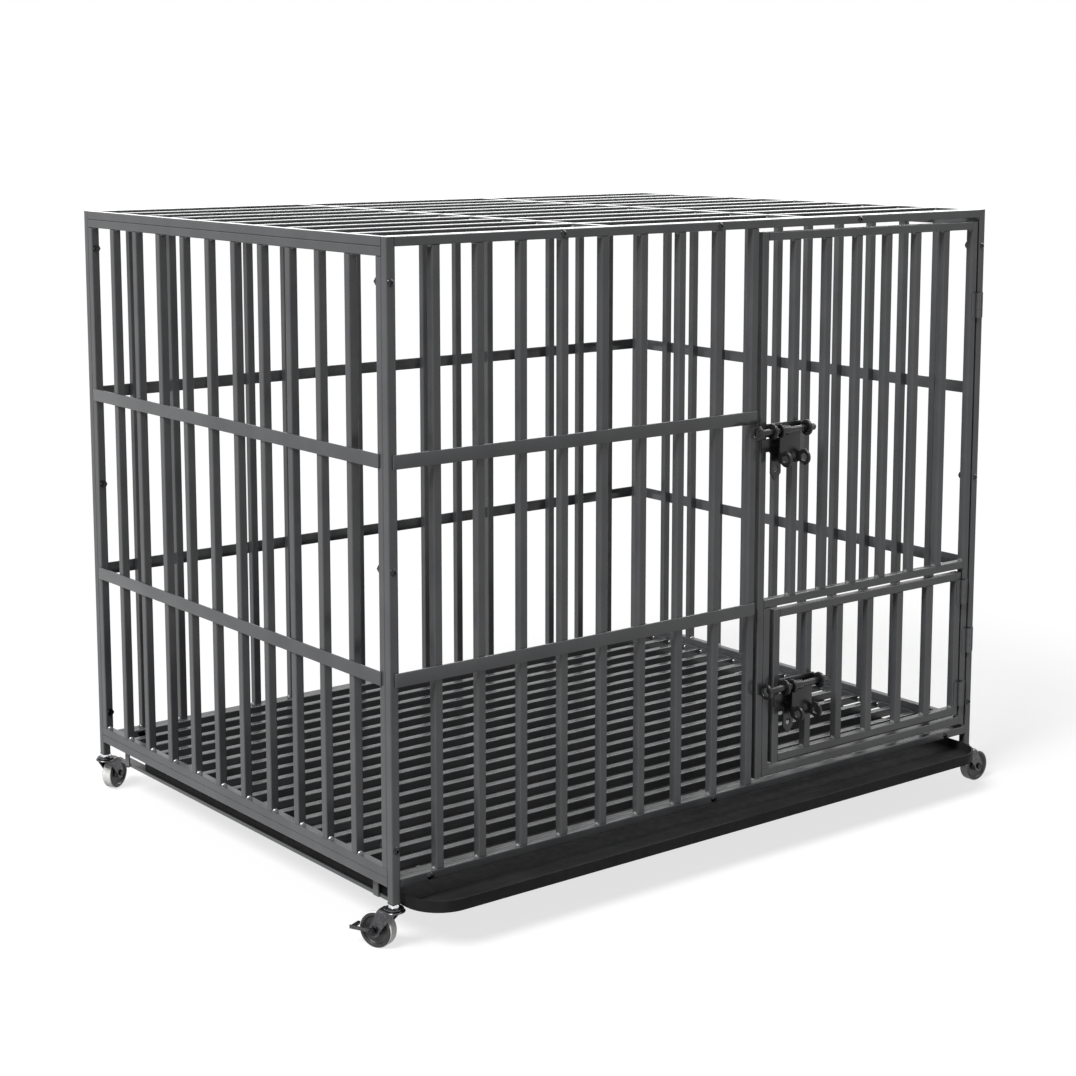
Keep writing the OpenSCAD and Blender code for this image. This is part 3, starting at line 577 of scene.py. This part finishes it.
# Castors: a plated stem with a collar and a ball race in each leg, a fork pressed from strip and
# bent over the wheel, a moulded nylon wheel centre with a pale tread, and an axle bolt. The left
# pair have a brake lever on the axle.
FORK_PLATE = 0.0022
FORK_BEND = 0.005
FORK_EYE = 0.009
FORK_HEEL = -0.009
FORK_TOE = 0.020
FORK_SHANK = 0.004
DISC_RADIUS = 0.0155
DISC_PLATE = 0.0025
WHEEL_WIDTH = 0.017
WHEEL_GAP = 0.0012
TREAD = 0.0032
TREAD_EDGE = 0.0012
TREAD_GROOVE = 0.0003
FLANGE_DROP = 0.0012
DISH_DEPTH = 0.0032
BOSS_PROUD = 0.0009
HUB_RADIUS = 0.007
AXLE_RADIUS = 0.003
RACE_GAP = 0.0003
RACE_RADIUS = 0.0135
RACE_HEIGHT = 0.0042
STEM_COLLAR = 0.0075
WHEEL_STEPS = 64
STEM_STEPS = 40
PLATE_TONES = (0.70, 0.71, 0.73, 1), (0.82, 0.83, 0.85, 1)
FORK_TONES = (0.065, 0.065, 0.07, 1), (0.12, 0.12, 0.125, 1)
NYLON_TONES = (0.016, 0.016, 0.017, 1), (0.027, 0.027, 0.028, 1)
TREAD_TONES = (0.80, 0.80, 0.78, 1), (0.88, 0.88, 0.86, 1)
PLUG_TONES = (0.012, 0.012, 0.013, 1), (0.020, 0.020, 0.021, 1)


def moulded(name, tones, roughness, grain):
    """Moulded plastic or rubber: slight clouds of tone, an even dull gloss and a fine grain."""
    return finish(name, *tones, roughness, (180, 4), (300, 3), (grain, 0.2, 0.0001))[0]


def on_castor(stem, heading, along, side, height):
    """World points of a castor's own directions: along its heading, to its side and up from the ground."""
    across = np.array([-heading[1], heading[0], 0])
    base = np.array([stem[0], stem[1], 0])
    return (base + along[..., None] * heading + side[..., None] * across
            + height[..., None] * np.array([0, 0, 1.0]))


def pressed_fork(stem, heading, axle_z, plate_z, trail):
    """Fork: a strip bent into an upside down U over the wheel. Its path runs up one leg, round a bend, over
    the top and down again. Its width narrows from the broad top to a round end below the axle."""
    leg_y = WHEEL_WIDTH / 2 + WHEEL_GAP + FORK_PLATE / 2
    top_z = plate_z + FORK_PLATE / 2
    round_end = axle_z + FORK_EYE * np.sin(np.linspace(-np.pi / 2, 0, 7))
    climb = np.concatenate([round_end, np.linspace(axle_z + FORK_SHANK, top_z - FORK_BEND, 5)])
    bend = np.radians(np.linspace(0, 90, 6))[1:]
    half_y = np.concatenate([np.full(len(climb), -leg_y), -leg_y + FORK_BEND * (1 - np.cos(bend)), [0]])
    half_z = np.concatenate([climb, top_z - FORK_BEND + FORK_BEND * np.sin(bend), [top_z]])
    normal_y = np.concatenate([np.full(len(climb), -1.0), -np.cos(bend), [0]])
    normal_z = np.concatenate([np.zeros(len(climb)), np.sin(bend), [1]])
    y = np.concatenate([half_y, -half_y[-2::-1]])[:, None]
    z = np.concatenate([half_z, half_z[-2::-1]])[:, None]
    lean_y = np.concatenate([normal_y, -normal_y[-2::-1]])[:, None]
    lean_z = np.concatenate([normal_z, normal_z[-2::-1]])[:, None]
    rise = np.clip((z - axle_z) / (top_z - axle_z), 0, 1)
    back = trail - FORK_EYE + (FORK_HEEL + FORK_EYE - trail) * rise
    front = trail + FORK_EYE + (FORK_TOE - FORK_EYE - trail) * rise
    circle = np.sqrt(np.clip(FORK_EYE ** 2 - (axle_z - z) ** 2, 1e-8, None))
    half = np.where(z < axle_z, circle, (front - back) / 2)
    turn = np.radians(np.arange(12) * 30 + 15)[None, :]
    wide = np.sign(np.cos(turn)) * np.abs(np.cos(turn)) ** 0.3
    thick = np.sign(np.sin(turn)) * np.abs(np.sin(turn)) ** 0.3 * FORK_PLATE / 2
    along = (back + front) / 2 + half * wide
    return lofted(on_castor(stem, heading, along, y + lean_y * thick, z + lean_z * thick))


def disc_profile():
    """Profile of the fork's round top: a disc with rounded edges."""
    return [(0, 0), (0, DISC_RADIUS - 0.001), (0.0004, DISC_RADIUS - 0.0003), (0.001, DISC_RADIUS),
            (0.0018, DISC_RADIUS - 0.0004), (DISC_PLATE, DISC_RADIUS - 0.0015), (DISC_PLATE, 0)]


def tread_profile(outer):
    """Profile of the tread: a band with round shoulders and a fine mould line round its middle."""
    edge = WHEEL_WIDTH / 2 - TREAD_EDGE
    crown = [(edge - TREAD_EDGE + TREAD_EDGE * math.cos(t), outer - TREAD_EDGE + TREAD_EDGE * math.sin(t))
             for t in np.linspace(0, np.pi / 2, 6)]
    mould_line = [(0.0006, outer), (0, outer - TREAD_GROOVE), (-0.0006, outer)]
    side = [(edge, outer - TREAD)] + crown
    return side + mould_line + [(-place, radius) for place, radius in reversed(side)]


def centre_profile(outer):
    """Profile of the wheel centre: a boss on the axle, a dished web and a flange each side of the tread."""
    half = WHEEL_WIDTH / 2
    face, boss, dish = half - 0.0002, half + BOSS_PROUD, half - DISH_DEPTH
    seat = half - TREAD_EDGE + 0.0001
    rim, flange = outer - TREAD, outer - FLANGE_DROP
    side = [(boss, AXLE_RADIUS + 0.0001), (boss, HUB_RADIUS - 0.0006), (boss - 0.0006, HUB_RADIUS),
            (dish + 0.001, HUB_RADIUS + 0.0005), (dish, HUB_RADIUS + 0.0016), (dish, rim - 0.0042),
            (dish + 0.0008, rim - 0.0030), (face - 0.0006, rim - 0.0024), (face, rim - 0.0018),
            (face, flange - 0.0006), (face - 0.0004, flange), (seat, flange), (seat, rim - 0.0001)]
    return side + [(-place, radius) for place, radius in reversed(side)]


def race_profile(foot, top):
    """Profile of the ball race: a pressed cup that rounds out at its foot and narrows to its top."""
    return [(foot, 0), (foot, RACE_RADIUS - 0.0012), (foot + 0.0005, RACE_RADIUS - 0.0004),
            (foot + 0.0014, RACE_RADIUS), (foot + 0.0024, RACE_RADIUS - 0.0004),
            (top - 0.0008, RACE_RADIUS - 0.0026), (top, STEM_COLLAR + 0.0015), (top, 0)]


def collar_profile(foot, top):
    """Profile of the stem's collar: a plain barrel with a flare at its foot and a chamfer at its top."""
    return [(foot, 0), (foot, STEM_COLLAR + 0.0006), (foot + 0.0006, STEM_COLLAR),
            (top - 0.0006, STEM_COLLAR), (top, STEM_COLLAR - 0.0006), (top, 0)]


bright_steel, bright_skin = finish("bright_plate", *PLATE_TONES, (0.08, 0.2), (200, 3), (500, 3))
bright_skin.inputs["Metallic"].default_value = 1.0
fork_zinc = dark_zinc("fork_zinc", *FORK_TONES, (0.20, 0.34))
wheel_nylon = moulded("wheel_nylon", NYLON_TONES, (0.34, 0.46), 1500)
tread_rubber = moulded("tread_rubber", TREAD_TONES, (0.40, 0.55), 1200)
plug_plastic = moulded("plug_plastic", PLUG_TONES, (0.40, 0.52), 1400)
dress("stem_chrome", bright_steel)
dress("fork_zinc", fork_zinc)
dress("wheel_plastic", wheel_nylon)
dress("tread_rubber", tread_rubber)
dress("plug_plastic", plug_plastic)
joint_at = {joint["name"]: joint.get("pos_m") for joint in frame["joints"]}
leg_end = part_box("castor_plugs")[0].z
races, collars = [], []
for corner in ("front_left", "front_right", "back_left", "back_right"):
    stem = np.array(joint_at[corner + "_castor_swivel"])
    axle = np.array(joint_at[corner + "_wheel_spin"])
    reach = axle - stem
    trail = math.hypot(reach[0], reach[1])
    heading = np.array([reach[0], reach[1], 0]) / trail
    across = np.array([-heading[1], heading[0], 0])
    fork_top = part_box(corner + "_fork")[1].z
    plate_z = fork_top - DISC_PLATE
    fork = pressed_fork(stem, heading, axle[2], plate_z, trail)
    disc = turned(disc_profile(), (stem[0], stem[1], plate_z), (0, 0, 1), STEM_STEPS)
    make_piece(corner + "_pressed_fork", [fork, disc], corner + "_swivel", fork_zinc,
               (corner + "_fork",))
    tread = turned(tread_profile(axle[2]), axle, across, WHEEL_STEPS)
    make_piece(corner + "_tread", [tread], corner + "_wheel", tread_rubber,
               (corner + "_tyre",))
    centre = turned(centre_profile(axle[2]), axle, across, WHEEL_STEPS)
    make_piece(corner + "_wheel_centre", [centre], corner + "_wheel", wheel_nylon,
               (corner + "_hub",))
    foot = fork_top + RACE_GAP
    seat = foot + RACE_HEIGHT
    below_stem = (stem[0], stem[1], 0)
    races.append(turned(race_profile(foot, seat), below_stem, (0, 0, 1), STEM_STEPS))
    collars.append(turned(collar_profile(seat, leg_end), below_stem, (0, 0, 1), STEM_STEPS))
make_piece("castor_races", races, "crate", fork_zinc)
make_piece("castor_collars", collars, "crate", bright_steel, ("castor_stems",))


# Setting: a plain white floor and surround, lit by a broad soft lamp high on the left and an even
# sky. Two softboxes show only in the gloss: a large one overhead, and a low strip behind the roof
# that brightens the tops of its slats. The camera looks down a little from the front left.
FLOOR_HALF = 60.0
FLOOR_SEEN = (0.27, 0.27, 0.27, 1)
FLOOR_BOUNCE = (0.28, 0.28, 0.28, 1)
FLOOR_GLOW = 0.74
FLOOR_ROUGHNESS = 0.9
WHITE = (1, 1, 1, 1)
SKY_LEVEL = 0.17
LAMP_WAY = (-0.64, -0.14, 0.76)
LAMP_LEVEL = 3.6
LAMP_SPREAD = 24
SOFTBOXES = (("gloss_softbox", (1.6, 0.2, 2.5), (0, 0, 0.5), 2.6, 2.6, 5.0),
             ("roof_softbox", (0.62, 0.79, 1.11), (0, 0, 1.0), 2.2, 0.32, 2.2))
CAMERA_PLACE = (-2.0710, -2.6363, 1.1098)
CAMERA_TURN = -38.16
CAMERA_DIP = 8.19
CAMERA_SHIFT = -0.12
FOCAL = 2113 / 1076
SENSOR = 36.0


def seen_directly(tree):
    """1 for rays that show a surface to the camera, straight or in a gloss or glass, and 0 for the rest."""
    path = tree.nodes.new("ShaderNodeLightPath")
    shown = path.outputs["Is Camera Ray"]
    for other in ("Is Glossy Ray", "Is Transmission Ray"):
        either = tree.nodes.new("ShaderNodeMath")
        either.operation = "MAXIMUM"
        tree.links.new(shown, either.inputs[0])
        tree.links.new(path.outputs[other], either.inputs[1])
        shown = either.outputs["Value"]
    return shown


def shining_from(way):
    """Turn of a lamp that shines from a way towards the origin: tipped off the upright, then swung
    round Z."""
    return math.acos(way[2] / np.linalg.norm(way)), 0, math.atan2(way[0], -way[1])


floor_mesh = bpy.data.meshes.new("white_floor")
floor_corners = np.array([(-1, -1, 0), (1, -1, 0), (1, 1, 0), (-1, 1, 0)]) * FLOOR_HALF
floor_mesh.from_pydata(floor_corners.tolist(), [], [(0, 1, 2, 3)])
white_floor = placed("white_floor", floor_mesh)
floor_white = bpy.data.materials.new("floor_white")
floor_white.use_nodes = True
floor_tree = floor_white.node_tree
floor_skin = floor_tree.nodes["Principled BSDF"]
floor_skin.inputs["Roughness"].default_value = FLOOR_ROUGHNESS
floor_skin.inputs["Specular IOR Level"].default_value = 0.0
floor_shown = seen_directly(floor_tree)
floor_tone = floor_tree.nodes.new("ShaderNodeMix")
floor_tone.data_type = "RGBA"
floor_tone.inputs["A"].default_value = FLOOR_BOUNCE
floor_tone.inputs["B"].default_value = FLOOR_SEEN
floor_tree.links.new(floor_shown, floor_tone.inputs["Factor"])
floor_tree.links.new(floor_tone.outputs["Result"], floor_skin.inputs["Base Color"])
floor_lift = floor_tree.nodes.new("ShaderNodeMath")
floor_lift.operation = "MULTIPLY"
floor_lift.inputs[1].default_value = FLOOR_GLOW
floor_tree.links.new(floor_shown, floor_lift.inputs[0])
floor_skin.inputs["Emission Color"].default_value = WHITE
floor_tree.links.new(floor_lift.outputs["Value"], floor_skin.inputs["Emission Strength"])
floor_mesh.materials.append(floor_white)

world = bpy.data.worlds.new("white_surround")
bpy.context.scene.world = world
world.use_nodes = True
sky = world.node_tree
sky.nodes.clear()
sky_level = sky.nodes.new("ShaderNodeMapRange")
sky_level.inputs["To Min"].default_value = SKY_LEVEL
sky_level.inputs["To Max"].default_value = 1.0
sky.links.new(seen_directly(sky), sky_level.inputs["Value"])
surround = sky.nodes.new("ShaderNodeBackground")
surround.inputs["Color"].default_value = WHITE
sky.links.new(sky_level.outputs["Result"], surround.inputs["Strength"])
sky_output = sky.nodes.new("ShaderNodeOutputWorld")
sky.links.new(surround.outputs["Background"], sky_output.inputs["Surface"])

lamp = bpy.data.lights.new("soft_lamp", "SUN")
lamp.energy = LAMP_LEVEL
lamp.angle = math.radians(LAMP_SPREAD)
soft_lamp = placed("soft_lamp", lamp)
soft_lamp.rotation_euler = shining_from(LAMP_WAY)
for box_name, place, aim, wide, tall, brightness in SOFTBOXES:
    softbox = bpy.data.lights.new(box_name, "AREA")
    softbox.shape = "RECTANGLE"
    softbox.size = wide
    softbox.size_y = tall
    softbox.energy = brightness * math.pi * wide * tall
    hung = placed(box_name, softbox)
    hung.location = place
    hung.rotation_euler = shining_from(np.subtract(place, aim))
    hung.visible_diffuse = False
    hung.visible_camera = False

camera = bpy.data.cameras.new("photo_camera")
camera.sensor_width = SENSOR
camera.lens = FOCAL * SENSOR
camera.shift_y = CAMERA_SHIFT
photo_camera = placed("photo_camera", camera)
photo_camera.location = CAMERA_PLACE
photo_camera.rotation_euler = (math.radians(90 - CAMERA_DIP), 0, math.radians(CAMERA_TURN))
bpy.context.scene.camera = photo_camera
